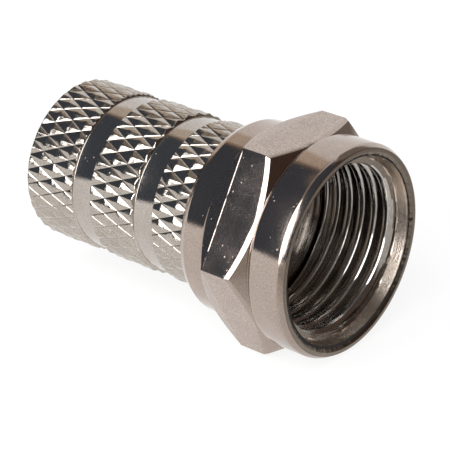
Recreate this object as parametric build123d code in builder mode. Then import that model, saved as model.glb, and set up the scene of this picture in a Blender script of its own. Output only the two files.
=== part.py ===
from build123d import *
import math
import os

# A twist-on coaxial plug: a hexagon coupling nut that turns on the neck of a knurled body.
# Millimetres. X is the plug's axis, with the nut's mouth towards +X, and Z is up.
# The origin is on the axis at the seat, the plane where the mating port's end lands.

# Coupling nut: the thread. It is 3/8-32, stated by its major diameter and its height.
thread_major_diameter = 9.53
thread_height = 0.365
mouth_lead = 0.275
mouth_bevel_length = 0.76
relief_clearance = 0.035
thread_minor_diameter = thread_major_diameter - 2 * thread_height
mouth_diameter = thread_major_diameter + 2 * mouth_lead
relief_diameter = thread_major_diameter + 2 * relief_clearance

# Coupling nut: outside
side_count = 6
hexagon_wall = 0.735
front_collar_rise = 0.125
rear_collar_drop = 0.3
across_flats = thread_major_diameter + 2 * hexagon_wall
front_collar_diameter = across_flats + 2 * front_collar_rise
rear_collar_diameter = across_flats - 2 * rear_collar_drop
front_collar_length = 2.25
front_collar_foot_radius = 0.35
rim_chamfer_length = 0.31
rim_chamfer_depth = 0.19
corner_length = 1.75
front_bevel_angle = 33.0
rear_bevel_angle = 40.0
flat_runout = 0.1
flat_relief_angle = 5.0
rear_collar_length = 1.62
rear_chamfer_length = 0.45
rear_chamfer_depth = 0.25
blank_allowance = 0.25
web_thickness = 1.45
neck_hole_chamfer = 0.12

# Body: neck and lip that hold the nut
neck_clearance = 0.05
lip_thickness = 0.45
lip_side_gap = 0.3
lip_end_gap = 0.05
lip_overhang = 0.7
lip_edge_chamfer = 0.12
shoulder_gap = 0.1
lip_diameter = thread_minor_diameter - 2 * lip_side_gap
neck_diameter = lip_diameter - 2 * lip_overhang

# Body: bores
neck_wall = 0.95
bore_step_height = 1.0
dielectric_bore_diameter = neck_diameter - 2 * neck_wall
cable_bore_diameter = dielectric_bore_diameter + 2 * bore_step_height
dielectric_bore_chamfer = 0.15
cable_bore_chamfer = 0.3
front_wall_thickness = 1.1

# Body: knurled sleeve, from the nut backwards
sleeve_wall = 0.97
sleeve_diameter = cable_bore_diameter + 2 * sleeve_wall
front_band_length = 2.43
middle_band_length = 3.03
rear_band_length = 3.25
groove_width = 1.3
groove_depth = 0.2
sleeve_front_chamfer = 0.2
sleeve_rear_chamfer = 0.24

# Diamond knurl
diamond_width = 0.868
diamond_length = 1.9
knurl_depth = 0.12
crest_share = 0.2
knurl_overrun = 0.14
knurl_turn = -2.8

# Radii
front_collar_radius = front_collar_diameter / 2
rear_collar_radius = rear_collar_diameter / 2
corner_radius = across_flats / 2 / math.cos(math.pi / side_count)
blank_radius = corner_radius + blank_allowance
thread_minor_radius = thread_minor_diameter / 2
thread_major_radius = thread_major_diameter / 2
mouth_radius = mouth_diameter / 2
relief_radius = relief_diameter / 2
neck_radius = neck_diameter / 2
neck_hole_radius = neck_radius + neck_clearance
lip_radius = lip_diameter / 2
sleeve_radius = sleeve_diameter / 2
valley_radius = sleeve_radius - knurl_depth
groove_radius = sleeve_radius - groove_depth
dielectric_bore_radius = dielectric_bore_diameter / 2
cable_bore_radius = cable_bore_diameter / 2


def bevel_run(radial, angle):
    """Length along the axis of a bevel, from its height and its angle to the end face."""
    return radial * math.tan(math.radians(angle))


# Stations along the nut, as distances behind its mouth
corner_front = front_collar_length + bevel_run(corner_radius - front_collar_radius, front_bevel_angle)
corner_rear = corner_front + corner_length
hexagon_end = corner_rear + bevel_run(corner_radius - rear_collar_radius, rear_bevel_angle)
nut_length = hexagon_end + rear_collar_length
thread_depth = nut_length - web_thickness
mouth_to_seat = thread_depth - lip_end_gap - lip_thickness

# Stations in the part's own frame
mouth_x = mouth_to_seat
nut_back_x = mouth_x - nut_length
shoulder_x = nut_back_x - shoulder_gap
front_groove_x = shoulder_x - front_band_length
middle_band_x = front_groove_x - groove_width
rear_groove_x = middle_band_x - middle_band_length
rear_band_x = rear_groove_x - groove_width
back_x = rear_band_x - rear_band_length
bore_step_x = shoulder_x - front_wall_thickness


def nut_point(behind_mouth, radius):
    return (mouth_x - behind_mouth, radius)


# The nut's section above the axis, counted from the mouth's inner edge round its outside
blank_rise = blank_radius - front_collar_radius
blank_fall = blank_radius - corner_radius
nut_section = [
    nut_point(0, mouth_radius),
    nut_point(0, front_collar_radius - rim_chamfer_depth),
    nut_point(rim_chamfer_length, front_collar_radius),
    nut_point(front_collar_length, front_collar_radius),
    nut_point(front_collar_length + bevel_run(blank_rise, front_bevel_angle), blank_radius),
    nut_point(corner_rear - bevel_run(blank_fall, rear_bevel_angle), blank_radius),
    nut_point(hexagon_end, rear_collar_radius),
    nut_point(nut_length - rear_chamfer_length, rear_collar_radius),
    nut_point(nut_length, rear_collar_radius - rear_chamfer_depth),
    nut_point(nut_length, neck_hole_radius + neck_hole_chamfer),
    nut_point(nut_length - neck_hole_chamfer, neck_hole_radius),
    nut_point(thread_depth, neck_hole_radius),
    nut_point(thread_depth, relief_radius),
    nut_point(mouth_to_seat, relief_radius),
    nut_point(mouth_to_seat, thread_minor_radius),
    nut_point(mouth_bevel_length + thread_height, thread_minor_radius),
    nut_point(mouth_bevel_length, thread_major_radius),
]

with BuildPart() as coupling_nut:
    with BuildSketch(Plane.XZ) as nut_profile:
        with BuildLine():
            Polyline(nut_section, close=True)
        make_face()
        collar_foot = nut_point(front_collar_length, front_collar_radius)
        fillet(nut_profile.vertices().sort_by_distance(collar_foot)[0], front_collar_foot_radius)
    revolve(axis=Axis.X)

    # Six flats, milled up to the front collar's foot
    with BuildSketch(Plane.YZ.offset(mouth_x - front_collar_length + flat_runout)):
        Circle(2 * blank_radius)
        RegularPolygon(across_flats / 2, side_count, major_radius=False, mode=Mode.SUBTRACT)
    extrude(amount=-nut_length, mode=Mode.SUBTRACT)

    # Behind a straight line from corner to corner each flat falls away a little
    relief_start = mouth_x - corner_rear
    relief_run = hexagon_end - corner_rear
    relief_drop = relief_run * math.tan(math.radians(flat_relief_angle))
    for side in range(side_count):
        with BuildSketch(Plane.XZ.rotated((360 / side_count * side, 0, 0), ordering=Extrinsic.XYZ)):
            with BuildLine():
                Polyline(
                    (relief_start, across_flats / 2),
                    (relief_start, blank_radius),
                    (relief_start - relief_run, blank_radius),
                    (relief_start - relief_run, across_flats / 2 - relief_drop),
                    close=True,
                )
            make_face()
        extrude(amount=corner_radius, both=True, mode=Mode.SUBTRACT)
coupling_nut.part.label = "coupling_nut"


# The knurl is a lattice of half steps round the sleeve and half diamonds along it.
# Crests stand where the two counts add up to an even number, and valleys cross at the others.
diamond_count = round(math.pi * sleeve_diameter / diamond_width)
half_steps = 2 * diamond_count
step_angle = 360.0 / half_steps
half_length = diamond_length / 2
knurl_back_x = back_x - knurl_overrun
knurl_rows = math.ceil((shoulder_x - knurl_back_x) / half_length)
peak_radius = (sleeve_radius - crest_share * valley_radius) / (1 - crest_share)


def lattice_point(step, row, radius):
    angle = math.radians(knurl_turn + step * step_angle)
    return Vector(knurl_back_x + row * half_length, radius * math.cos(angle), radius * math.sin(angle))


def polygon_face(points):
    return Face(Wire.make_polygon(points, close=True))


def diamond_faces(step, row):
    """Four sloping sides and the flat crest of one diamond, or of its half on an end row."""
    peak = lattice_point(step, row, peak_radius)
    left = lattice_point(step - 1, row, valley_radius)
    right = lattice_point(step + 1, row, valley_radius)
    crest_left = peak + (left - peak) * crest_share
    crest_right = peak + (right - peak) * crest_share
    faces = []
    for side in (1, -1):
        if not 0 <= row + side <= knurl_rows:
            continue
        tip = lattice_point(step, row + side, valley_radius)
        crest_tip = peak + (tip - peak) * crest_share
        faces.append(polygon_face([left, tip, crest_tip, crest_left]))
        faces.append(polygon_face([tip, right, crest_right, crest_tip]))
        faces.append(polygon_face([crest_left, crest_tip, crest_right]))
    return faces


def end_face(row):
    points = []
    for step in range(half_steps):
        if (step + row) % 2:
            points.append(lattice_point(step, row, valley_radius))
            continue
        peak = lattice_point(step, row, peak_radius)
        for side in (-1, 1):
            valley = lattice_point(step + side, row, valley_radius)
            points.append(peak + (valley - peak) * crest_share)
    return polygon_face(points)


def knurled_bar():
    """A bar with the diamond pattern all round it, a little longer than the sleeve."""
    faces = [end_face(0), end_face(knurl_rows)]
    for row in range(knurl_rows + 1):
        for step in range(row % 2, half_steps, 2):
            faces += diamond_faces(step, row)
    return Solid(Shell(faces))


# The sleeve's outline: the knurled bar is turned down to it, and stays whole on the bands
outline_radius = sleeve_radius + groove_depth
front_rise = outline_radius - sleeve_radius + sleeve_front_chamfer
rear_rise = outline_radius - sleeve_radius + sleeve_rear_chamfer
sleeve_section = [
    (shoulder_x, 0),
    (shoulder_x, sleeve_radius - sleeve_front_chamfer),
    (shoulder_x - front_rise, outline_radius),
    (front_groove_x, outline_radius),
    (front_groove_x, groove_radius),
    (middle_band_x, groove_radius),
    (middle_band_x, outline_radius),
    (rear_groove_x, outline_radius),
    (rear_groove_x, groove_radius),
    (rear_band_x, groove_radius),
    (rear_band_x, outline_radius),
    (back_x + rear_rise, outline_radius),
    (back_x, sleeve_radius - sleeve_rear_chamfer),
    (back_x, 0),
]

# The bores' outline, with the cable bore behind and the narrower one through the neck
bore_section = [
    (0, 0),
    (0, dielectric_bore_radius + dielectric_bore_chamfer),
    (-dielectric_bore_chamfer, dielectric_bore_radius),
    (bore_step_x, dielectric_bore_radius),
    (bore_step_x, cable_bore_radius),
    (back_x + cable_bore_chamfer, cable_bore_radius),
    (back_x, cable_bore_radius + cable_bore_chamfer),
    (back_x, 0),
]

neck_section = [
    (0, 0),
    (0, lip_radius - lip_edge_chamfer),
    (-lip_edge_chamfer, lip_radius),
    (-lip_thickness, lip_radius),
    (-lip_thickness, neck_radius),
    (shoulder_x, neck_radius),
    (shoulder_x, 0),
]

with BuildPart() as knurled_body:
    add(knurled_bar())
    with BuildSketch(Plane.XZ):
        with BuildLine():
            Polyline(sleeve_section, close=True)
        make_face()
    revolve(axis=Axis.X, mode=Mode.INTERSECT)

    with BuildSketch(Plane.XZ):
        with BuildLine():
            Polyline(neck_section, close=True)
        make_face()
    revolve(axis=Axis.X)

    with BuildSketch(Plane.XZ):
        with BuildLine():
            Polyline(bore_section, close=True)
        make_face()
    revolve(axis=Axis.X, mode=Mode.SUBTRACT)
knurled_body.part.label = "knurled_body"

os.makedirs("parts", exist_ok=True)
for piece in (coupling_nut, knurled_body):
    export_step(piece.part, f"parts/{piece.part.label}.step")
    print(piece.part.label, "volume", round(piece.part.volume, 1), "mm3")
print("nut length", round(nut_length, 3), "mouth to seat", round(mouth_to_seat, 3))
print("whole length", round(mouth_x - back_x, 3))
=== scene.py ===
import math

import bmesh
import bpy
import numpy as np
from mathutils import Matrix, Vector


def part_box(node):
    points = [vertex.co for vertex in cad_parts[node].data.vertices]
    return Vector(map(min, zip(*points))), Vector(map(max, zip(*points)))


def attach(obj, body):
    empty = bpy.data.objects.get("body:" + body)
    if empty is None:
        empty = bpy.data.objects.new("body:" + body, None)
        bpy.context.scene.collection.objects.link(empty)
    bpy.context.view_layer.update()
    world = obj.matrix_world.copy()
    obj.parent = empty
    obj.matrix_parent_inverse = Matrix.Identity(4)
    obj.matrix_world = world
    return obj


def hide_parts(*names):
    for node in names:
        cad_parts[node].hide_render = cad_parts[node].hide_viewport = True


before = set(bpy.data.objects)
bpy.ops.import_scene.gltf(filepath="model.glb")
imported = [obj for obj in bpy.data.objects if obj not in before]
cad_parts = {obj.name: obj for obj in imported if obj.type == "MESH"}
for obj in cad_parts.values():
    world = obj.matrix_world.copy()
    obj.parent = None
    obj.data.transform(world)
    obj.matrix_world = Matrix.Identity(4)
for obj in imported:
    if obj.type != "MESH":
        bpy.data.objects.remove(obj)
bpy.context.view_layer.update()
scene = bpy.context.scene
mm = 0.001
turn = 2 * math.pi
print("frame loaded")


# The part as packed. Its axis is X, the nut's mouth points to +X and the seat is at x = 0
nutLow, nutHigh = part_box("coupling_nut")
bodyLow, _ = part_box("knurled_body")
mouthX = nutHigh.x / mm
nutBackX = nutLow.x / mm
cornerRadius = nutHigh.y / mm

# The photograph's view, as it was recovered from the part's edges
view = {
    "positionMm": (60.731, -75.850, 46.320),
    "aimMm": (-3.199, 0.032, -1.030),
    "rollDeg": 0.22,
    "focalPixels": 2100,
    "framePixels": 450,
    "sensorMm": 36,
    "clipM": (0.005, 20),
}


def makeCamera():
    lens = bpy.data.cameras.new("studio_camera")
    lens.sensor_width = view["sensorMm"]
    lens.lens = lens.sensor_width * view["focalPixels"] / view["framePixels"]
    lens.clip_start, lens.clip_end = view["clipM"]
    camera = bpy.data.objects.new("studio_camera", lens)
    scene.collection.objects.link(camera)
    position = Vector(view["positionMm"]) * mm
    direction = Vector(view["aimMm"]) * mm - position
    rotation = direction.to_track_quat("-Z", "Y").to_matrix().to_4x4()
    roll = Matrix.Rotation(math.radians(view["rollDeg"]), 4, "Z")
    camera.matrix_world = Matrix.Translation(position) @ rotation @ roll
    scene.camera = camera


makeCamera()
print("camera placed")


# Meshes: small tools for turned work
meshing = {
    "cornerSamples": 5,  # points of the small curve that takes the place of a corner
    "cornerReach": 0.46,  # the most that such a curve takes of the edges beside it
    "mergeMm": 0.0004,
    "dissolveMm": 0.0002,
}


def bendCorners(points, tangents):
    # points is columns x keys x 2. Each inner key gets a short curve in place of its corner
    first, last = points[:, :1], points[:, -1:]
    before = points[:, :-2] - points[:, 1:-1]
    after = points[:, 2:] - points[:, 1:-1]
    beforeLength = np.linalg.norm(before, axis=2, keepdims=True) + 1e-9
    afterLength = np.linalg.norm(after, axis=2, keepdims=True) + 1e-9
    reach = np.array(tangents)[None, :, None]
    reach = np.minimum(reach, meshing["cornerReach"] * np.minimum(beforeLength, afterLength))
    start = points[:, 1:-1] + before / beforeLength * reach
    end = points[:, 1:-1] + after / afterLength * reach
    steps = np.linspace(0, 1, meshing["cornerSamples"])[None, None, :, None]
    corner = points[:, 1:-1]
    curve = (
        (1 - steps) ** 2 * start[:, :, None]
        + 2 * steps * (1 - steps) * corner[:, :, None]
        + steps**2 * end[:, :, None]
    )
    columns = points.shape[0]
    return np.concatenate([first, curve.reshape(columns, -1, 2), last], axis=1)


def rollUp(x, radius, angle):
    # Lengths in millimetres to points in metres, with the angle counted from +Y towards +Z
    return np.stack([x, radius * np.cos(angle), radius * np.sin(angle)], axis=-1) * mm


def sheetFaces(columns, rows):
    # Quads between neighbouring columns of a closed sheet, all the way round
    faces = []
    for column in range(columns):
        here = column * rows
        there = (column + 1) % columns * rows
        for row in range(rows - 1):
            faces.append((here + row, here + row + 1, there + row + 1, there + row))
    return faces


def finishMesh(name, points, faces, faceMaterials, materials, sharpDeg):
    mesh = bpy.data.meshes.new(name)
    mesh.from_pydata(points, [], faces)
    for material in materials:
        mesh.materials.append(material)
    mesh.polygons.foreach_set("material_index", faceMaterials)
    tidy = bmesh.new()
    tidy.from_mesh(mesh)
    bmesh.ops.remove_doubles(tidy, verts=tidy.verts, dist=meshing["mergeMm"] * mm)
    bmesh.ops.dissolve_degenerate(tidy, edges=tidy.edges, dist=meshing["dissolveMm"] * mm)
    bmesh.ops.recalc_face_normals(tidy, faces=tidy.faces)
    tidy.to_mesh(mesh)
    tidy.free()
    mesh.shade_smooth()
    mesh.set_sharp_from_angle(angle=math.radians(sharpDeg))
    piece = bpy.data.objects.new(name, mesh)
    scene.collection.objects.link(piece)
    flatness = piece.modifiers.new("flat_faces_stay_flat", "WEIGHTED_NORMAL")
    flatness.keep_sharp = True
    return piece


# Materials

def linear(hexColour):
    channels = [int(hexColour[i : i + 2], 16) / 255 for i in (1, 3, 5)]
    bright = [c / 12.92 if c <= 0.04045 else ((c + 0.055) / 1.055) ** 2.4 for c in channels]
    return tuple(bright) + (1,)


def newMaterial(name):
    material = bpy.data.materials.new(name)
    material.use_nodes = True
    material.node_tree.nodes.clear()
    return material, material.node_tree


def addNode(tree, kind, inputs=None, **settings):
    node = tree.nodes.new(kind)
    for name, value in settings.items():
        setattr(node, name, value)
    for name, value in (inputs or {}).items():
        if isinstance(value, bpy.types.NodeSocket):
            tree.links.new(value, node.inputs[name])
        else:
            node.inputs[name].default_value = value
    return node


# Bright nickel plated on turned brass: a warm grey metal that mirrors its surroundings. Tints are
# a lighter and a darker patch of the plating. Its real grain and the lathe's real rings are about
# 0.01 mm, too fine to show, so both are drawn about five times as coarse
plating = {
    "nut": ("#B8AAA0", "#A4948A"),
    # the thread's pale tint is painted light, lifting the dark inside the mouth
    "bore": ("#D8D6D3", "#C4C1BD"),
    "groove": ("#C1B9B2", "#ACA39A"),
    # the rim's darker tint is painted shade
    "rim": ("#968B81", "#7F756B"),
    "countersink": ("#E0D2C5", "#CDBFB2"),
    "knurl": ("#BCB3AA", "#A49C92"),
    "patchMm": 1.6,
    "speckMm": 0.07,
    "noiseSpan": (0.3, 0.7),
    "ringHeightMm": 0.02,
    "grainHeightMm": 0.05,
    "pitMm": 0.42,  # mean distance between pits
    "pitSpan": (0.02, 0.09),  # a pit's floor and edge, as shares of that distance
    "pitDepthMm": 0.03,
    "roughnessSpan": (-0.03, 0.04),
}
finishes = {
    # Turned collars: clean mirror bands round the nut
    "nickel_turned": {
        "tint": "nut", "grainMm": 0.06, "grain": 0.04, "ringMm": 0.05, "rings": 0.04,
        "specks": 0.12, "pits": 0.3, "roughness": 0.10,
    },
    # Turned grooves between the knurled bands: mirror bands too, a little paler
    "nickel_grooves": {
        "tint": "groove", "grainMm": 0.06, "grain": 0.05, "ringMm": 0.05, "rings": 0.04,
        "specks": 0.12, "pits": 0.35, "roughness": 0.10,
    },
    # Milled faces of the hexagon: flat mirrors with a fine glitter
    "nickel_flats": {
        "tint": "nut", "grainMm": 0.06, "grain": 0.05, "ringMm": 0.2, "rings": 0.0,
        "specks": 0.26, "pits": 0.3, "roughness": 0.10,
    },
    # Cut thread: dark inside the mouth, with bright streaks along its crests. Its pale tint is
    # painted light that lifts the dark inside
    "nickel_thread": {
        "tint": "bore", "grainMm": 0.06, "grain": 0.04, "ringMm": 0.05, "rings": 0.10,
        "specks": 0.2, "pits": 0.2, "roughness": 0.09,
    },
    # Faced rim: duller and ringed by the tool, with a darker tint that is painted shade
    "nickel_rim": {
        "tint": "rim", "grainMm": 0.06, "grain": 0.16, "ringMm": 0.05, "rings": 0.45,
        "specks": 0.3, "pits": 0.2, "roughness": 0.22,
    },
    # Countersunk mouth: a pale, matt band before the thread
    "nickel_countersink": {
        "tint": "countersink", "grainMm": 0.06, "grain": 0.16, "ringMm": 0.05, "rings": 0.45,
        "specks": 0.3, "pits": 0.2, "roughness": 0.26,
    },
    # Rolled knurl: small mirrors that each catch the lamp or the dark
    "nickel_knurled": {
        "tint": "knurl", "grainMm": 0.08, "grain": 0.07, "ringMm": 0.2, "rings": 0.0,
        "specks": 0.2, "pits": 0.2, "roughness": 0.11,
    },
}


def nickelMaterial(name):
    finish = finishes[name]
    light, dark = plating[finish["tint"]]
    noiseLow, noiseHigh = plating["noiseSpan"]
    pitFloor, pitEdge = plating["pitSpan"]
    smoother, rougher = plating["roughnessSpan"]
    material, tree = newMaterial(name)
    place = addNode(tree, "ShaderNodeTexCoord").outputs["Object"]
    split = addNode(tree, "ShaderNodeSeparateXYZ", {0: place})
    x, y, z = split.outputs
    squareY = addNode(tree, "ShaderNodeMath", {0: y, 1: y}, operation="MULTIPLY")
    squareZ = addNode(tree, "ShaderNodeMath", {0: z, 1: z}, operation="MULTIPLY")
    square = addNode(
        tree, "ShaderNodeMath", {0: squareY.outputs[0], 1: squareZ.outputs[0]}, operation="ADD",
    )
    radius = addNode(tree, "ShaderNodeMath", {0: square.outputs[0]}, operation="SQRT")
    section = addNode(tree, "ShaderNodeCombineXYZ", {0: x, 1: radius.outputs[0]})

    patches = addNode(
        tree, "ShaderNodeTexNoise",
        {"Vector": place, "Scale": 1 / (plating["patchMm"] * mm), "Detail": 3.0, "Roughness": 0.6},
    )
    tint = addNode(
        tree, "ShaderNodeMix",
        {"Factor": patches.outputs[0], 6: linear(light), 7: linear(dark)},
        data_type="RGBA",
    )
    specks = addNode(
        tree, "ShaderNodeTexNoise",
        {"Vector": place, "Scale": 1 / (plating["speckMm"] * mm), "Detail": 1.0},
    )
    speckled = addNode(
        tree, "ShaderNodeMapRange",
        {0: specks.outputs[0], 1: noiseLow, 2: noiseHigh,
         3: 1 - finish["specks"], 4: 1 + finish["specks"]},
    )
    colour = addNode(
        tree, "ShaderNodeVectorMath",
        {0: tint.outputs[2], "Scale": speckled.outputs[0]}, operation="SCALE",
    )
    grain = addNode(
        tree, "ShaderNodeTexNoise",
        {"Vector": place, "Scale": 1 / (finish["grainMm"] * mm), "Detail": 2.0, "Roughness": 0.7},
    )
    rings = addNode(
        tree, "ShaderNodeTexNoise",
        {"Vector": section.outputs[0], "Scale": 1 / (finish["ringMm"] * mm), "Detail": 2.0},
        noise_dimensions="2D",
    )
    ringBump = addNode(
        tree, "ShaderNodeBump",
        {"Height": rings.outputs[0], "Strength": finish["rings"],
         "Distance": plating["ringHeightMm"] * mm},
    )
    grainBump = addNode(
        tree, "ShaderNodeBump",
        {"Height": grain.outputs[0], "Strength": finish["grain"],
         "Distance": plating["grainHeightMm"] * mm, "Normal": ringBump.outputs[0]},
    )
    spots = addNode(
        tree, "ShaderNodeTexVoronoi",
        {"Vector": place, "Scale": 1 / (plating["pitMm"] * mm), "Randomness": 1.0},
    )
    pits = addNode(
        tree, "ShaderNodeMapRange", {0: spots.outputs[0], 1: pitFloor, 2: pitEdge, 3: 0.0, 4: 1.0},
    )
    pitBump = addNode(
        tree, "ShaderNodeBump",
        {"Height": pits.outputs[0], "Strength": finish["pits"],
         "Distance": plating["pitDepthMm"] * mm, "Normal": grainBump.outputs[0]},
    )
    smoothness = addNode(
        tree, "ShaderNodeMapRange",
        {0: patches.outputs[0], 1: noiseLow, 2: noiseHigh,
         3: finish["roughness"] + smoother, 4: finish["roughness"] + rougher},
    )
    shader = addNode(
        tree, "ShaderNodeBsdfPrincipled",
        {"Base Color": colour.outputs[0], "Metallic": 1.0, "Roughness": smoothness.outputs[0],
         "Normal": pitBump.outputs[0]},
    )
    addNode(tree, "ShaderNodeOutputMaterial", {0: shader.outputs[0]})
    return material


# Painted shade under the ragged edge of the countersink: a thin black line inside the mouth,
# standing in for the shadow of the edge's undercut
edgeShade = {"colour": "#14110F", "roughness": 0.7}


def edgeShadeMaterial():
    material, tree = newMaterial("painted_shade_in_edge")
    shader = addNode(
        tree, "ShaderNodeBsdfPrincipled",
        {"Base Color": linear(edgeShade["colour"]), "Roughness": edgeShade["roughness"]},
    )
    addNode(tree, "ShaderNodeOutputMaterial", {0: shader.outputs[0]})
    return material


surfaces = {name: nickelMaterial(name) for name in finishes}
surfaces["painted_shade_in_edge"] = edgeShadeMaterial()
print("materials made")


# Coupling nut. Lengths are distances behind the mouth, in millimetres
nut = {
    "flatHeight": 5.5,
    "cornerRounding": 0.07,
    "rimRadius": 5.435,
    "rimChamferLength": 0.31,
    "frontCollarRadius": 5.625,
    "frontCollarLength": 2.25,
    "collarFootRadius": 5.43,
    "collarFootLength": 0.22,
    "frontBevelDeg": 33,
    "flatEdgeDeg": 25,  # a narrow facet along each flat's front edge, which flashes white
    "flatEdgeLength": 0.07,
    "flatEdgeLeast": 0.003,
    "cornerRear": 4.471,
    "flatRearBurr": 0.014,  # height of the broken bright line along each flat's rear edge
    "flatRearBurrAt": (-0.06, -0.015, 0.02),
    "flatRearBurrFade": 0.3,
    "rearBevelDeg": 40,
    "rearBevelLeast": 0.035,
    "reliefDeg": 5,
    "rearCollarRadius": 5.2,
    "rearCollarStart": 5.437,
    "rearChamferLength": 0.45,
    "rearRimRadius": 4.95,
    "holeRadius": 3.45,
    "holeChamfer": 0.12,
    "webThickness": 1.45,
    "reliefRadius": 4.8,
    "seatDepth": 5.107,
    "sharpDeg": 28,
    "seed": 7,
}
# The 3/8-32 thread and the countersink before it
thread = {
    "pitch": 0.79375,
    "minorRadius": 4.40,
    "majorRadius": 4.765,
    "mouthRadius": 5.23,
    "burr": 0.05,
    "burrRadius": 5.08,
    "burrDepth": 0.13,
    "countersinkStart": 4.955,
    "countersinkLean": 0.06,
    "countersinkLeanDeg": 100,
    "countersinkDepth": 0.74,
    "countersinkRadius": 4.80,
    "countersinkMargin": 0.02,
    "startSlope": 3.0,
    "startLength": 0.12,
    "crestShare": 0.42,
    "rootShare": 0.125,
    "crestRound": 0.05,
    "flankRound": 0.25,
}
nutMaterials = [
    "nickel_turned", "nickel_flats", "nickel_thread",
    # the last finish is painted shade, a black line under the mouth's ragged edge
    "nickel_rim", "nickel_countersink", "painted_shade_in_edge",
]
# Finish of the outline's rows from the mouth's edge to the rear, and the row where each ends
outlineFinishes = [
    # the first rows at the mouth's edge carry painted shade, a thin black line
    ("painted_shade_in_edge", 3), ("nickel_rim", 14), ("nickel_turned", 36), ("nickel_flats", 58),
]


def nutColumns():
    # Angles round the nut, closer together beside the six corners
    besideCorner = [0, 0.09, 0.18, 0.27, 0.36, 0.6, 1.0]
    across = list(np.linspace(1.0, 30, 28)[1:])
    half = besideCorner + across
    sector = half + [60 - a for a in reversed(half[:-1])][:-1]
    return np.radians([60 * side + a for side in range(6) for a in sector])


def hexagonRadius(angle):
    # Distance from the axis to a hexagon with flats on top and below and with rounded corners
    fromCorner = np.abs((angle + math.radians(30)) % math.radians(60) - math.radians(30))
    fromFlat = math.radians(30) - fromCorner
    flat = nut["flatHeight"] / np.cos(fromFlat)
    rounding = nut["cornerRounding"]
    centre = (nut["flatHeight"] - rounding) / math.cos(math.radians(30))
    edge = math.atan2(rounding * 0.5, centre + rounding * math.cos(math.radians(30)))
    inside = np.maximum(rounding**2 - (centre * np.sin(fromCorner)) ** 2, 0)
    arc = centre * np.cos(fromCorner) + np.sqrt(inside)
    return np.where(fromCorner < edge, arc, flat)


def countersinkStart(angles):
    # The countersink was cut a little off centre, so its slope is steeper on one side
    lean = np.cos(angles - math.radians(thread["countersinkLeanDeg"]))
    return thread["countersinkStart"] + thread["countersinkLean"] * lean


def nutOutline(angles):
    # The section at each angle, from the mouth's edge round the outside to the seat
    hexagon = hexagonRadius(angles)
    frontSlope = math.tan(math.radians(nut["frontBevelDeg"]))
    rearSlope = math.tan(math.radians(nut["rearBevelDeg"]))
    relief = math.tan(math.radians(nut["reliefDeg"]))
    length = mouthX - nutBackX
    collar = nut["frontCollarRadius"]
    foot = nut["frontCollarLength"]
    footRadius = nut["collarFootRadius"]
    cornerRear = nut["cornerRear"]
    flatStart = foot + (hexagon - footRadius) * frontSlope
    edgeStart = np.maximum(flatStart - nut["flatEdgeLength"], foot + nut["flatEdgeLeast"])
    edgeDrop = (flatStart - edgeStart) / frontSlope
    edgeEnd = edgeStart + edgeDrop / math.tan(math.radians(nut["flatEdgeDeg"]))
    fall = (cornerRadius - hexagon) / (1 / rearSlope - relief)
    flatEnd = cornerRear + np.maximum(fall, nut["rearBevelLeast"])
    flatEndRadius = hexagon - (flatEnd - cornerRear) * relief
    same = np.ones_like(angles)
    luck = np.random.default_rng(nut["seed"])
    fromCorner = np.clip((cornerRadius - hexagon) / nut["flatRearBurrFade"], 0, 1)
    burr = nut["flatRearBurr"] * fromCorner * luck.uniform(0, 1, len(angles))
    burrStart, burrTop, burrEnd = (cornerRear + offset for offset in nut["flatRearBurrAt"])
    # The tool left a ragged edge between the face and the countersink
    ragged = thread["burrRadius"] + thread["burr"] * luck.uniform(-1, 1, len(angles))
    burrDepth = thread["burrDepth"]
    # Depth, radius and the length of the small curve at each key
    keys = [
        (burrDepth * same, countersinkStart(angles), 0),
        (burrDepth * same, ragged, 0.005),
        (0 * same, thread["mouthRadius"] * same, 0.02),
        (0 * same, nut["rimRadius"] * same, 0.04),
        (nut["rimChamferLength"] * same, collar * same, 0.08),
        ((foot - nut["collarFootLength"]) * same, collar * same, 0.08),
        (foot * same, footRadius * same, 0.05),
        (edgeStart, hexagon - edgeDrop, 0.02),
        (edgeEnd, hexagon, 0.03),
        (burrStart * same, hexagon, 0.01),
        (burrTop * same, hexagon + burr, 0.005),
        (burrEnd * same, hexagon, 0.01),
        (flatEnd, flatEndRadius, 0.03),
        (nut["rearCollarStart"] * same, nut["rearCollarRadius"] * same, 0.06),
        ((length - nut["rearChamferLength"]) * same, nut["rearCollarRadius"] * same, 0.06),
        (length * same, nut["rearRimRadius"] * same, 0.03),
        (length * same, (nut["holeRadius"] + nut["holeChamfer"]) * same, 0.01),
        ((length - nut["holeChamfer"]) * same, nut["holeRadius"] * same, 0.01),
        ((length - nut["webThickness"]) * same, nut["holeRadius"] * same, 0.02),
        ((length - nut["webThickness"]) * same, nut["reliefRadius"] * same, 0.02),
        (nut["seatDepth"] * same, nut["reliefRadius"] * same, 0),
    ]
    points = np.stack([np.stack([depth, radius], axis=1) for depth, radius, _ in keys], axis=1)
    return bendCorners(points, [key[2] for key in keys[1:-1]])


def threadProfile(phase):
    # Radius of the thread's surface at a share of the pitch, with the root at 0
    root = thread["rootShare"] / 2
    crest = 0.5 - thread["crestShare"] / 2
    flankRound = thread["flankRound"]
    rise = np.clip((np.minimum(phase, 1 - phase) - root) / (crest - root), 0, 1)
    rise = (1 - flankRound) * rise + flankRound * rise * rise * (3 - 2 * rise)
    fromMiddle = np.clip((0.5 - np.minimum(phase, 1 - phase)) / (0.5 - crest), 0, 1)
    height = thread["majorRadius"] - thread["minorRadius"] - thread["crestRound"]
    return thread["majorRadius"] - height * rise - thread["crestRound"] * (1 - fromMiddle**2)


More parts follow.
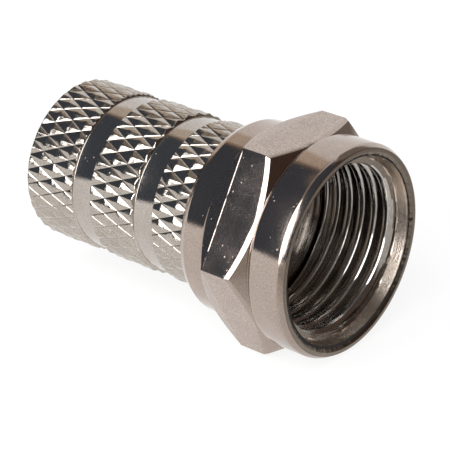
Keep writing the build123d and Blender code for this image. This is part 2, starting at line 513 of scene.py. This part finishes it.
def threadSheet(angles):
    # Rows follow the helix, and stop at the mouth's plane and at the seat
    pitch = thread["pitch"]
    root = thread["rootShare"] / 2
    crest = 0.5 - thread["crestShare"] / 2
    climb = np.linspace(root, crest, 5)
    half = [0] + list(climb) + list(np.linspace(crest, 0.5, 4)[1:])
    phases = np.array(half + [1 - p for p in reversed(half[1:-1])])
    turns = math.ceil(nut["seatDepth"] / pitch) + 1
    rows = np.concatenate([phases + n for n in range(turns)] + [[float(turns)]])
    depth = rows[None, :] * pitch - pitch * angles[:, None] / turn
    depth = np.clip(depth, thread["burrDepth"], nut["seatDepth"])
    phase = (depth / pitch + angles[:, None] / turn) % 1
    radius = threadProfile(phase)
    mouthLength = thread["countersinkDepth"] - thread["burrDepth"]
    coneStart = countersinkStart(angles)[:, None]
    slope = (coneStart - thread["countersinkRadius"]) / mouthLength
    cone = coneStart - slope * (depth - thread["burrDepth"])
    behindCone = depth - thread["countersinkDepth"]
    begin = thread["countersinkRadius"] - thread["startSlope"] * behindCone
    cone = np.where(behindCone > 0, begin, cone)
    return depth, np.maximum(radius, cone), len(phases)


def threadFinish(depth):
    behindCone = depth - thread["countersinkDepth"]
    if behindCone < -thread["countersinkMargin"]:
        return "nickel_countersink"
    # the thread's first step takes the rim's darker tint, which is painted shade
    return "nickel_rim" if behindCone < thread["startLength"] else "nickel_thread"


def makeNut():
    angles = nutColumns()
    columns = len(angles)
    outline = nutOutline(angles)
    rows = outline.shape[1]
    points = rollUp(mouthX - outline[:, :, 0], outline[:, :, 1], angles[:, None]).reshape(-1, 3)
    faces = sheetFaces(columns, rows)
    rowKinds = []
    for name, end in outlineFinishes + [("nickel_turned", rows - 1)]:
        rowKinds += [nutMaterials.index(name)] * (end - len(rowKinds))
    kinds = rowKinds * columns

    depth, radius, rowsPerTurn = threadSheet(angles)
    last = np.full((columns, 1), nut["seatDepth"])
    depth = np.concatenate([depth, last], axis=1)
    radius = np.concatenate([radius, np.full((columns, 1), nut["reliefRadius"])], axis=1)
    inner = rollUp(mouthX - depth, radius, angles[:, None])
    innerRows = depth.shape[1]
    start = len(points)
    points = np.concatenate([points, inner.reshape(-1, 3)])
    for column in range(columns):
        nextColumn = (column + 1) % columns
        shift = rowsPerTurn if nextColumn == 0 else 0  # the helix gains a turn at the last column
        for row in range(innerRows - 1):
            low, high = max(row - shift, 0), max(row + 1 - shift, 0)
            if row + 1 == innerRows - 1:
                low, high = innerRows - 2, innerRows - 1
            here, there = start + column * innerRows, start + nextColumn * innerRows
            faces.append((here + row, here + row + 1, there + high, there + low))
            kinds.append(nutMaterials.index(threadFinish(depth[column, row])))
    materials = [surfaces[name] for name in nutMaterials]
    piece = finishMesh("nut_turned", points.tolist(), faces, kinds, materials, nut["sharpDeg"])
    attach(piece, "nut")
    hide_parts("coupling_nut")


makeNut()
print("coupling nut made")


# Knurled body. Stations are in the part's frame, in millimetres
body = {
    "lipRadius": 4.1,
    "lipThickness": 0.45,
    "lipChamfer": 0.12,
    "neckRadius": 3.4,
    "shoulderX": -2.05,
    "shoulderRadius": 4.22,
    "bands": [(-2.05, -4.48), (-5.78, -8.81), (-10.11, -13.36)],
    "grooveRadius": 4.22,
    "grooveCover": 0.01,  # how far the grooves' ends reach under the bands, along and inwards
    "grooveSink": 0.02,
    "grooveWalls": (0.02, 0.03),
    "sleeveRadius": 4.42,
    "rearRadius": 4.18,
    "dielectricBoreRadius": 2.45,
    "dielectricChamfer": 0.15,
    "cableBoreRadius": 3.45,
    "cableChamfer": 0.3,
    "boreStepX": -3.15,
    "columns": 288,
    "sharpDeg": 38,
}
knurl = {
    "diamondsRound": 32,
    "diamondLength": 1.9,
    "depth": 0.12,
    "turnDeg": -2.8,
    "backX": -13.5,
    "endBevel": 0.09,
    "cuts": (0.0, 0.045, 0.09),  # lines cut into the mesh beside a band's end, for its bevel
    "steps": (0, 0.04, 0.08, 0.17, 0.27, 0.375, 0.5),  # mesh lines across half a diamond
    "flank": ((0, 0.08, 0.16, 0.75, 1.0), (0, 0.17, 0.29, 0.88, 1.0)),  # place and height
    "ridgeRounding": 0.03,
    "ridgeLift": 0.4,
    "unevenness": 0.0035,
    "waves": 14,
    "waveMm": (0.28, 0.7),
    "waveSpread": 2.6,
    "waveLimit": 1.6,
    "seed": 11,
}


def knurlHeight(x, angle):
    # Share of the knurl's depth, from 0 in the valleys to 1 on the crests
    around = (angle - math.radians(knurl["turnDeg"])) / (turn / knurl["diamondsRound"])
    along = (x - knurl["backX"]) / knurl["diamondLength"]
    first = 1 - np.abs(2 * ((around + along + 0.5) % 1) - 1)
    second = 1 - np.abs(2 * ((around - along + 0.5) % 1) - 1)
    first, second = (np.interp(side, *knurl["flank"]) for side in (first, second))
    rounding = knurl["ridgeRounding"]
    lower = first + second - np.sqrt((first - second) ** 2 + rounding**2)
    return (lower + rounding * knurl["ridgeLift"]) / 2


def knurlWaves(x, angle):
    # The wheel's teeth and the plating leave no two diamonds alike
    luck = np.random.default_rng(knurl["seed"])
    waves = np.zeros_like(x)
    for _ in range(knurl["waves"]):
        length = luck.uniform(*knurl["waveMm"])
        heading = luck.uniform(0, turn)
        lapsRound = round(turn * body["sleeveRadius"] / length * math.sin(heading))
        lag = luck.uniform(0, turn)
        waves += np.sin(turn * x / length * math.cos(heading) + lapsRound * angle + lag)
    limit = knurl["waveLimit"]
    return np.clip(waves / knurl["waveSpread"], -limit, limit) - limit


def bandSheet(front, rear):
    # The diamonds of one band as a flat sheet of lattice cells, cut off at the band's ends
    count = knurl["diamondsRound"]
    halfLength = knurl["diamondLength"] / 2
    steps = list(knurl["steps"]) + [1 - s for s in reversed(knurl["steps"][:-1])]
    cells = len(steps) - 1
    half = cells // 2
    firstRow = math.floor((rear - knurl["backX"]) / halfLength) - 1
    lastRow = math.ceil((front - knurl["backX"]) / halfLength) + 1
    sheet = bmesh.new()
    known = {}

    def vertex(around, along):
        key = (round(around * 1000), round(along * 1000))
        if key not in known:
            known[key] = sheet.verts.new((along, around, 0))
        return known[key]

    for row in range(firstRow, lastRow + 1):
        for column in range(count):
            aroundCentre = column + (row % 2) / 2
            alongCentre = row / 2
            for i in range(cells):
                for j in range(cells):
                    corners = []
                    for a, b in ((steps[i], steps[j]), (steps[i + 1], steps[j]),
                                 (steps[i + 1], steps[j + 1]), (steps[i], steps[j + 1])):
                        place = (aroundCentre + (a + b - 1) / 2, alongCentre + (a - b) / 2)
                        corners.append(vertex(*place))
                    if (i < half) == (j < half):
                        sheet.faces.new((corners[0], corners[1], corners[2]))
                        sheet.faces.new((corners[0], corners[2], corners[3]))
                    else:
                        sheet.faces.new((corners[0], corners[1], corners[3]))
                        sheet.faces.new((corners[1], corners[2], corners[3]))
    toSteps = 1 / knurl["diamondLength"]
    for inset in knurl["cuts"]:
        for place, side in ((front - inset, 1), (rear + inset, -1)):
            everything = sheet.verts[:] + sheet.edges[:] + sheet.faces[:]
            bmesh.ops.bisect_plane(
                sheet, geom=everything, dist=1e-7,
                plane_co=((place - knurl["backX"]) * toSteps, 0, 0), plane_no=(side, 0, 0),
                clear_outer=inset == 0,
            )
    bmesh.ops.triangulate(sheet, faces=sheet.faces)
    flat = np.array([v.co[:] for v in sheet.verts])
    faces = [tuple(v.index for v in f.verts) for f in sheet.faces]
    sheet.free()
    x = knurl["backX"] + flat[:, 0] * knurl["diamondLength"]
    angle = math.radians(knurl["turnDeg"]) + flat[:, 1] * turn / count
    return x, angle, faces


def bandSurface(front, rear):
    x, angle, faces = bandSheet(front, rear)
    depth = knurl["depth"]
    valley = body["sleeveRadius"] - depth
    radius = valley + depth * knurlHeight(x, angle) + knurl["unevenness"] * knurlWaves(x, angle)
    inset = np.minimum(front - x, x - rear)
    bevel = valley + (inset / knurl["endBevel"]) * depth
    return x, np.minimum(radius, bevel), angle, faces


def ringSheet(section, columns):
    # A turned surface: the section's points swept round, as x, radius, angle and faces
    points = bendCorners(np.array([[p[:2] for p in section]]), [p[2] for p in section[1:-1]])[0]
    angles = np.arange(columns) * turn / columns
    x = np.tile(points[:, 0], columns)
    radius = np.tile(points[:, 1], columns)
    angle = np.repeat(angles, len(points))
    return x, radius, angle, sheetFaces(columns, len(points)), len(points)


def zipRings(firstIds, firstAngles, secondIds, secondAngles):
    # Triangles between two rings of points, each in order round the axis
    firstOrder = np.argsort(firstAngles)
    secondOrder = np.argsort(secondAngles)
    a = [int(firstIds[k]) for k in firstOrder]
    b = [int(secondIds[k]) for k in secondOrder]
    aAngles = [float(firstAngles[k]) for k in firstOrder]
    bAngles = [float(secondAngles[k]) for k in secondOrder]
    offset = min(range(len(b)), key=lambda k: abs(bAngles[k] - aAngles[0]))
    b = b[offset:] + b[:offset]
    bAngles = bAngles[offset:] + [t + turn for t in bAngles[:offset]]
    aAngles.append(aAngles[0] + turn)
    bAngles.append(bAngles[0] + turn)
    a.append(a[0])
    b.append(b[0])
    i = j = 0
    faces = []
    while i < len(a) - 1 or j < len(b) - 1:
        stepFirst = j == len(b) - 1 or (i < len(a) - 1 and aAngles[i + 1] <= bAngles[j + 1])
        if stepFirst:
            faces.append((a[i], a[i + 1], b[j]))
            i += 1
        else:
            faces.append((a[i], b[j + 1], b[j]))
            j += 1
    return faces


def shellSection():
    # The body's turned outline from its rear end through the bores and round the lip to the
    # shoulder: x, radius and the length of the small curve at each corner
    rear = body["bands"][-1][1]
    chamfer = body["lipChamfer"]
    return [
        (rear, body["rearRadius"], 0),
        (rear, body["cableBoreRadius"] + body["cableChamfer"], 0.04),
        (rear + body["cableChamfer"], body["cableBoreRadius"], 0.04),
        (body["boreStepX"], body["cableBoreRadius"], 0.03),
        (body["boreStepX"], body["dielectricBoreRadius"], 0.03),
        (-body["dielectricChamfer"], body["dielectricBoreRadius"], 0.03),
        (0, body["dielectricBoreRadius"] + body["dielectricChamfer"], 0.03),
        (0, body["lipRadius"] - chamfer, 0.08),
        (-chamfer, body["lipRadius"], 0.08),
        (-body["lipThickness"], body["lipRadius"], 0.04),
        (-body["lipThickness"], body["neckRadius"], 0.04),
        (body["shoulderX"], body["neckRadius"], 0.04),
        (body["shoulderX"], body["shoulderRadius"], 0),
    ]


def grooveSection(front, rear):
    # A groove between the rear end of one band and the front end of the next
    bottom = body["sleeveRadius"] - knurl["depth"] - body["grooveSink"]
    floor = body["grooveRadius"]
    cover = body["grooveCover"]
    frontWall, rearWall = body["grooveWalls"]
    return [
        (front - cover, bottom, 0), (front - frontWall, floor, 0.05),
        (rear + rearWall, floor, 0.05), (rear + cover, bottom, 0),
    ]


def makeBody():
    columns = body["columns"]
    (_, rear1), (front2, rear2), (front3, _) = body["bands"]
    sections = [shellSection(), grooveSection(rear1, front2), grooveSection(rear2, front3)]
    xs, radii, angles, faces, kinds = [], [], [], [], []
    count = 0

    def place(x, radius, angle, newFaces, kind):
        nonlocal count
        start = count
        xs.append(x)
        radii.append(radius)
        angles.append(angle)
        faces.extend(tuple(i + start for i in face) for face in newFaces)
        kinds.extend([kind] * len(newFaces))
        count += len(x)
        return start

    rings = []
    for section in sections:
        x, radius, angle, newFaces, rows = ringSheet(section, columns)
        start = place(x, radius, angle, newFaces, 0)
        firstRing = start + np.arange(columns) * rows
        rings.append((firstRing, firstRing + rows - 1))
    ringAngles = np.arange(columns) * turn / columns
    ends = []
    for front, rear in body["bands"]:
        x, radius, angle, newFaces = bandSurface(front, rear)
        start = place(x, radius, angle, newFaces, 1)
        loops = []
        for station in (front, rear):
            ids = np.nonzero(np.abs(x - station) < 1e-4)[0]
            wrapped = angle[ids] % turn
            _, keep = np.unique(np.round(wrapped, 5) % round(turn, 5), return_index=True)
            loops.append((start + ids[keep], wrapped[keep]))
        ends.append(loops)
    # Each end of a band is closed to the ring beside it
    joins = [
        (ends[0][0], rings[0][1]), (ends[0][1], rings[1][0]),
        (ends[1][0], rings[1][1]), (ends[1][1], rings[2][0]),
        (ends[2][0], rings[2][1]), (ends[2][1], rings[0][0]),
    ]
    for (loopIds, loopAngles), ring in joins:
        newFaces = zipRings(loopIds, loopAngles, ring, ringAngles)
        faces.extend(newFaces)
        kinds.extend([0] * len(newFaces))
    points = rollUp(np.concatenate(xs), np.concatenate(radii), np.concatenate(angles))
    materials = [surfaces["nickel_grooves"], surfaces["nickel_knurled"]]
    piece = finishMesh("body_knurled", points.tolist(), faces, kinds, materials, body["sharpDeg"])
    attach(piece, "body")
    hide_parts("knurled_body")


makeBody()
print("knurled body made")


# Studio: a white table and backdrop, darker screens round the part, and a soft lamp. In the
# metal's reflections the table carries painted shade, darker to the right of the part
studio = {
    "white": "#FFFFFF",
    "paper": "#F4F4F4",
    "floorSize": 3.0,
    "floorGap": 0.00002,
    "floorGlow": 0.85,  # how much of the table's white is its own, the rest keeps the shadow
    # where the painted shade in the table's reflections begins and is full along x, and its colour
    "fade": (0.000, 0.016),
    "paintedShadeColour": "#9E968D",
    "worldLight": 0.7,
    "tentRadius": 0.5,
    "tentSteps": (25, 13),
}
# Panels of the tent as azimuth from the front towards the mouth's side, height and colour. What no
# panel covers is the white backdrop
panels = [
    {"name": "dark_ceiling", "azimuth": (-108, 75), "height": (0, 60), "colour": "#4E555F"},
    {"name": "dark_top", "azimuth": (10, 150), "height": (60, 90), "colour": "#4E555F"},
    {"name": "pale_top", "azimuth": (-150, 10), "height": (60, 90), "colour": "#A49A90"},
    {"name": "brown_edge", "azimuth": (-112, -108), "height": (0, 60), "colour": "#8C7868"},
    {"name": "warm_edge", "azimuth": (-128, -112), "height": (0, 60), "colour": "#DDD0C2"},
    {"name": "brown_wall", "azimuth": (75, 150), "height": (0, 60), "colour": "#52433C"},
    {"name": "grey_wall", "azimuth": (150, 180), "height": (0, 60), "colour": "#8B857F"},
]
softbox = {
    "towards": (0.02, -0.86, 0.47),
    "distance": 0.42,
    "size": (0.46, 0.56),
    "radiance": 5.0,
}


def plainSight(tree):
    # Tells rays from the camera, off metal or through glass, which show a backdrop as it is
    rays = addNode(tree, "ShaderNodeLightPath")
    seen = addNode(
        tree, "ShaderNodeMath",
        {0: rays.outputs["Is Camera Ray"], 1: rays.outputs["Is Glossy Ray"]}, operation="ADD",
    )
    seen = addNode(
        tree, "ShaderNodeMath",
        {0: seen.outputs[0], 1: rays.outputs["Is Transmission Ray"]},
        operation="ADD", use_clamp=True,
    )
    return rays, seen.outputs[0]


def makeFloor():
    material, tree = newMaterial("white_table")
    rays, seen = plainSight(tree)
    share = addNode(
        tree, "ShaderNodeMath", {0: seen, 1: studio["floorGlow"]}, operation="MULTIPLY",
    )
    place = addNode(tree, "ShaderNodeTexCoord").outputs["Object"]
    split = addNode(tree, "ShaderNodeSeparateXYZ", {0: place})
    # painted shade: as the metal mirrors it, the table darkens to the right of the part
    fadeStart, fadeEnd = studio["fade"]
    fade = addNode(
        tree, "ShaderNodeMapRange",
        {0: split.outputs[0], 1: fadeStart, 2: fadeEnd, 3: 0.0, 4: 1.0}, clamp=True,
    )
    darker = addNode(
        tree, "ShaderNodeMath",
        {0: fade.outputs[0], 1: rays.outputs["Is Glossy Ray"]}, operation="MULTIPLY",
    )
    glowColour = addNode(
        tree, "ShaderNodeMix",
        {"Factor": darker.outputs[0], 6: linear(studio["white"]), 7: linear(studio["paintedShadeColour"])},
        data_type="RGBA",
    )
    paper = addNode(tree, "ShaderNodeBsdfDiffuse", {"Color": linear(studio["paper"])})
    glow = addNode(tree, "ShaderNodeEmission", {"Color": glowColour.outputs[2], "Strength": 1.0})
    mixed = addNode(
        tree, "ShaderNodeMixShader", {0: share.outputs[0], 1: paper.outputs[0], 2: glow.outputs[0]},
    )
    addNode(tree, "ShaderNodeOutputMaterial", {0: mixed.outputs[0]})
    size = studio["floorSize"]
    level = min(nutLow.z, bodyLow.z) - studio["floorGap"]
    corners = [
        (-size, -size, level), (size, -size, level), (size, size, level), (-size, size, level),
    ]
    mesh = bpy.data.meshes.new("table")
    mesh.from_pydata(corners, [], [(0, 1, 2, 3)])
    mesh.materials.append(material)
    table = bpy.data.objects.new("table", mesh)
    scene.collection.objects.link(table)


def makeTent():
    # Screens round the part, seen only in its reflections
    radius = studio["tentRadius"]
    across, rows = studio["tentSteps"]
    for panel in panels:
        material, tree = newMaterial(panel["name"])
        colour = linear(panel["colour"])
        glow = addNode(tree, "ShaderNodeEmission", {"Color": colour, "Strength": 1.0})
        addNode(tree, "ShaderNodeOutputMaterial", {0: glow.outputs[0]})
        azimuths = np.radians(np.linspace(*panel["azimuth"], across))
        heights = np.radians(np.linspace(*panel["height"], rows))
        points = [
            (radius * math.cos(h) * math.sin(a),
             -radius * math.cos(h) * math.cos(a),
             radius * math.sin(h))
            for a in azimuths for h in heights
        ]
        faces = [
            (a * rows + h, a * rows + h + 1, (a + 1) * rows + h + 1, (a + 1) * rows + h)
            for a in range(across - 1) for h in range(rows - 1)
        ]
        mesh = bpy.data.meshes.new(panel["name"])
        mesh.from_pydata(points, [], faces)
        mesh.materials.append(material)
        screen = bpy.data.objects.new(panel["name"], mesh)
        scene.collection.objects.link(screen)
        screen.visible_camera = False
        screen.visible_diffuse = False
        screen.visible_shadow = False


def makeLamp():
    width, height = softbox["size"]
    light = bpy.data.lights.new("front_softbox", "AREA")
    light.shape = "RECTANGLE"
    light.size, light.size_y = width, height
    light.energy = softbox["radiance"] * math.pi * width * height
    lamp = bpy.data.objects.new("front_softbox", light)
    scene.collection.objects.link(lamp)
    away = Vector(softbox["towards"]).normalized()
    rotation = (-away).to_track_quat("-Z", "Y").to_matrix().to_4x4()
    lamp.matrix_world = Matrix.Translation(away * softbox["distance"]) @ rotation


def makeWorld():
    world = bpy.data.worlds.new("white_studio")
    scene.world = world
    world.use_nodes = True
    tree = world.node_tree
    tree.nodes.clear()
    _, seen = plainSight(tree)
    level = addNode(tree, "ShaderNodeMapRange", {0: seen, 3: studio["worldLight"], 4: 1.0})
    sky = addNode(
        tree, "ShaderNodeBackground",
        {"Color": linear(studio["white"]), "Strength": level.outputs[0]},
    )
    addNode(tree, "ShaderNodeOutputWorld", {0: sky.outputs[0]})


makeFloor()
makeTent()
makeLamp()
makeWorld()
scene.view_settings.view_transform = "Standard"
print("studio set")
